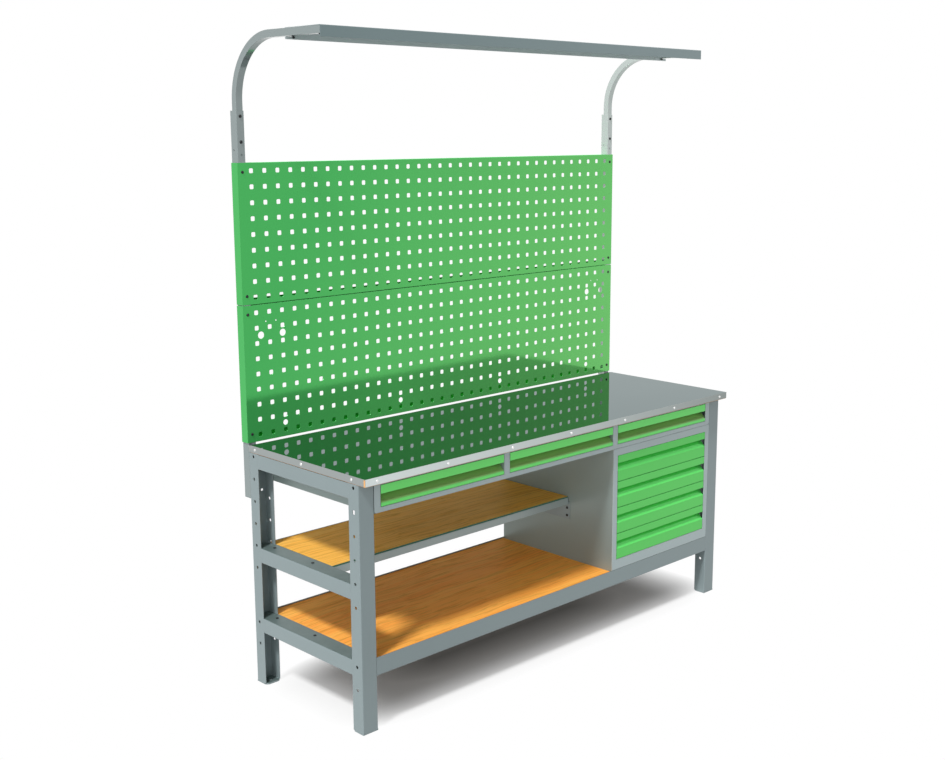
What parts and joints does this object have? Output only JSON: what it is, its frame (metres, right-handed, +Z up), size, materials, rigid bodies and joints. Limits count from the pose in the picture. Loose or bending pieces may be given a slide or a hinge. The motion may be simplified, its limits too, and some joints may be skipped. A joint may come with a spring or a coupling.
{
  "type": "workbench",
  "caption": "Steel workbench with drawers under the top, a drawer pedestal, two shelves, a perforated back panel and an overhead lamp rail on bent arms.",
  "frame": {"origin": "on the floor, in the middle of the bench's overall length and depth", "axes": "+X along the bench to the user's right, +Y from the front to the back, +Z up"},
  "size_m": [1.8, 0.636, 2.1165],
  "materials": {
    "grey_steel": "satin powder coat",
    "green_steel": "satin powder coat",
    "light_steel": "smooth glossy coat",
    "plywood": "varnished",
    "zinc_steel": "zinc plated",
    "black_steel": "blackened"
  },
  "bodies": {
    "frame": {"bottom_shelf_board": "plywood", "cassette_front_frame": "grey_steel", "cassette_runners": "zinc_steel", "cassette_shell": "grey_steel", "foot_plates": "grey_steel", "front_left_leg": "grey_steel", "front_lower_rail": "grey_steel", "front_right_leg": "grey_steel", "lamp_rail": "grey_steel", "lamp_rail_screws": "black_steel", "left_bottom_rail": "grey_steel", "left_lamp_arm": "light_steel", "left_mid_rail": "grey_steel", "left_top_rail": "grey_steel", "left_upright": "grey_steel", "lower_pegboard": "green_steel", "mid_shelf_board": "plywood", "mid_shelf_bracket": "grey_steel", "mid_shelf_tray": "grey_steel", "panel_screws": "black_steel", "pedestal_front_frame": "grey_steel", "pedestal_runners": "zinc_steel", "pedestal_shell": "grey_steel", "rear_left_leg": "grey_steel", "rear_lower_rail": "grey_steel", "rear_right_leg": "grey_steel", "rear_top_rail": "grey_steel", "right_bottom_rail": "grey_steel", "right_lamp_arm": "light_steel", "right_mid_rail": "grey_steel", "right_top_rail": "grey_steel", "right_upright": "grey_steel", "shelf_screws": "black_steel", "upper_pegboard": "green_steel", "upright_bolts": "black_steel", "worktop_board": "plywood", "worktop_cover": "light_steel", "worktop_screws": "zinc_steel"},
    "drawer_1": {"drawer_1_box": "grey_steel", "drawer_1_front": "green_steel", "drawer_1_slides": "zinc_steel"},
    "drawer_2": {"drawer_2_box": "grey_steel", "drawer_2_front": "green_steel", "drawer_2_slides": "zinc_steel"},
    "drawer_3": {"drawer_3_box": "grey_steel", "drawer_3_front": "green_steel", "drawer_3_slides": "zinc_steel"},
    "drawer_4": {"drawer_4_box": "grey_steel", "drawer_4_front": "green_steel", "drawer_4_slides": "zinc_steel"},
    "drawer_5": {"drawer_5_box": "grey_steel", "drawer_5_front": "green_steel", "drawer_5_slides": "zinc_steel"},
    "drawer_6": {"drawer_6_box": "grey_steel", "drawer_6_front": "green_steel", "drawer_6_slides": "zinc_steel"},
    "drawer_7": {"drawer_7_box": "grey_steel", "drawer_7_front": "green_steel", "drawer_7_slides": "zinc_steel"}
  },
  "joints": [
    {"name": "drawer_1_slide", "type": "slide", "parent": "frame", "child": "drawer_1", "axis": [0, -1, 0], "range_m": [0, 0.38]},
    {"name": "drawer_2_slide", "type": "slide", "parent": "frame", "child": "drawer_2", "axis": [0, -1, 0], "range_m": [0, 0.38]},
    {"name": "drawer_3_slide", "type": "slide", "parent": "frame", "child": "drawer_3", "axis": [0, -1, 0], "range_m": [0, 0.38]},
    {"name": "drawer_4_slide", "type": "slide", "parent": "frame", "child": "drawer_4", "axis": [0, -1, 0], "range_m": [0, 0.38]},
    {"name": "drawer_5_slide", "type": "slide", "parent": "frame", "child": "drawer_5", "axis": [0, -1, 0], "range_m": [0, 0.38]},
    {"name": "drawer_6_slide", "type": "slide", "parent": "frame", "child": "drawer_6", "axis": [0, -1, 0], "range_m": [0, 0.38]},
    {"name": "drawer_7_slide", "type": "slide", "parent": "frame", "child": "drawer_7", "axis": [0, -1, 0], "range_m": [0, 0.38]}
  ]
}
